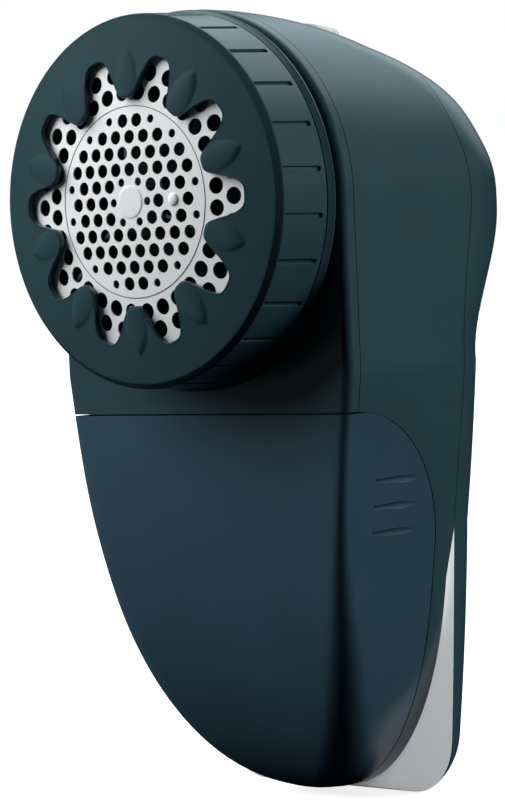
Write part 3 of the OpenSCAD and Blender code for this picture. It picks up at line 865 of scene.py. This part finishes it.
# azimuth, elevation, inner and outer radius in degrees, strength and colour of each soft box
SOFT_BOXES = [
    (193, 48, 12, 44, 1.5, (0.80, 0.97, 1.06)),
    (-50, 6, 5, 40, 0.14, (0.75, 1.0, 1.05)),
    (132, 14, 10, 34, 0.19, (0.70, 1.0, 1.05)),
]
FLOOR_GREY = (0.50, 0.50, 0.505)
FLOOR_GLOW = 0.82                    # keeps the floor as pale as the backdrop behind it


def make_floor():
    bm = bmesh.new()
    rows = [(-6, -6), (6, -6), (6, 6), (-6, 6)]
    bm.faces.new([bm.verts.new((x, y, -0.0003)) for x, y in rows])
    mesh = bpy.data.meshes.new("floor")
    bm.to_mesh(mesh)
    bm.free()
    floor = bpy.data.objects.new("floor", mesh)
    bpy.context.scene.collection.objects.link(floor)
    pale = material("pale_floor", FLOOR_GREY, 0.8, spread=0.01, bump=0.0, specular=0.0)
    shader = pale.node_tree.nodes["Principled BSDF"]
    shader.inputs["Emission Color"].default_value = (1, 1, 1, 1)
    shader.inputs["Emission Strength"].default_value = FLOOR_GLOW
    floor.data.materials.append(pale)
    floor.visible_diffuse = False
    floor.visible_glossy = False


def soft_sun(name, azimuth, elevation, strength, spread, only=()):
    """A broad soft light from far away, which may light only some pieces. The world shows the
    reflections that belong to it."""
    a, e = math.radians(azimuth), math.radians(elevation)
    away = Vector((math.sin(a) * math.cos(e), -math.cos(a) * math.cos(e), math.sin(e)))
    data = bpy.data.lights.new(name, "SUN")
    data.energy = strength
    data.angle = math.radians(spread)
    lamp = bpy.data.objects.new(name, data)
    bpy.context.scene.collection.objects.link(lamp)
    lamp.visible_glossy = False
    lamp.rotation_mode = "QUATERNION"
    lamp.rotation_quaternion = (-away).to_track_quat("-Z", "Y")
    if only:
        group = bpy.data.collections.new(name)
        for made in only:
            group.objects.link(made)
        lamp.light_linking.receiver_collection = group


def make_world():
    """A pale backdrop for the camera. Glossy surfaces see soft boxes in a dark studio instead."""
    world = bpy.data.worlds.new("studio")
    bpy.context.scene.world = world
    world.use_nodes = True
    nodes, links = world.node_tree.nodes, world.node_tree.links
    nodes.clear()
    place = nodes.new("ShaderNodeTexCoord")
    total = None
    for azimuth, elevation, inner, outer, strength, colour in SOFT_BOXES:
        a, e = math.radians(azimuth), math.radians(elevation)
        toward = nodes.new("ShaderNodeVectorMath")
        toward.operation = "DOT_PRODUCT"
        toward.inputs[1].default_value = (math.sin(a) * math.cos(e), -math.cos(a) * math.cos(e), math.sin(e))
        links.new(place.outputs["Generated"], toward.inputs[0])
        edge = nodes.new("ShaderNodeMapRange")
        edge.interpolation_type = "SMOOTHSTEP"
        edge.inputs["From Min"].default_value = math.cos(math.radians(outer))
        edge.inputs["From Max"].default_value = math.cos(math.radians(inner))
        edge.inputs["To Max"].default_value = strength
        links.new(toward.outputs["Value"], edge.inputs["Value"])
        tint = nodes.new("ShaderNodeVectorMath")
        tint.operation = "SCALE"
        tint.inputs[0].default_value = colour
        links.new(edge.outputs["Result"], tint.inputs["Scale"])
        if total is None:
            total = tint
        else:
            add = nodes.new("ShaderNodeVectorMath")
            add.operation = "ADD"
            links.new(total.outputs["Vector"], add.inputs[0])
            links.new(tint.outputs["Vector"], add.inputs[1])
            total = add
    boxes = nodes.new("ShaderNodeBackground")
    links.new(total.outputs["Vector"], boxes.inputs["Color"])
    seen = nodes.new("ShaderNodeBackground")
    seen.inputs["Color"].default_value = (1.0, 1.0, 1.0, 1)
    fill = nodes.new("ShaderNodeBackground")
    fill.inputs["Color"].default_value = (0.7, 0.9, 1.0, 1)
    fill.inputs["Strength"].default_value = 0.025
    rays = nodes.new("ShaderNodeLightPath")
    glossy = nodes.new("ShaderNodeMixShader")
    camera = nodes.new("ShaderNodeMixShader")
    out = nodes.new("ShaderNodeOutputWorld")
    links.new(rays.outputs["Is Glossy Ray"], glossy.inputs["Fac"])
    links.new(fill.outputs["Background"], glossy.inputs[1])
    links.new(boxes.outputs["Background"], glossy.inputs[2])
    links.new(rays.outputs["Is Camera Ray"], camera.inputs["Fac"])
    links.new(glossy.outputs["Shader"], camera.inputs[1])
    links.new(seen.outputs["Background"], camera.inputs[2])
    links.new(camera.outputs["Shader"], out.inputs["Surface"])


def make_camera():
    """The camera stands level with the body, to the right of the head, rolled a little."""
    azimuth, elevation, roll = math.radians(43.43), math.radians(-1.6), math.radians(-2.43)
    distance, aim_side, aim_up = 546.26, 19.985, -35.62
    back = Vector((math.sin(azimuth) * math.cos(elevation), -math.cos(azimuth) * math.cos(elevation),
                   math.sin(elevation)))
    side = Vector((math.cos(azimuth), math.sin(azimuth), 0))
    up = back.cross(side)
    head = Vector((0, FOIL_Y, AXIS_H))
    eye = head + back * distance
    ahead = (head + side * aim_side + up * aim_up - eye).normalized()
    right = ahead.cross(Vector((0, 0, 1))).normalized()
    above = right.cross(ahead)
    tilted_right = right * math.cos(roll) + above * math.sin(roll)
    tilted_up = above * math.cos(roll) - right * math.sin(roll)
    data = bpy.data.cameras.new("camera")
    data.lens = 140.04
    data.sensor_width = 36
    data.clip_start, data.clip_end = 0.01, 50
    camera = bpy.data.objects.new("camera", data)
    bpy.context.scene.collection.objects.link(camera)
    turn = Matrix((tilted_right, tilted_up, -ahead)).transposed().to_4x4()
    camera.matrix_world = Matrix.Translation(eye * MM) @ turn
    bpy.context.scene.camera = camera


make_floor()
make_world()
soft_sun("key", -57, 34, 6.1, 54)
soft_sun("side", 127, 19, 3.6, 30)
soft_sun("base", 28, 10, 2.7, 40, only=[base])
make_camera()
bpy.context.scene.view_settings.view_transform = "Standard"
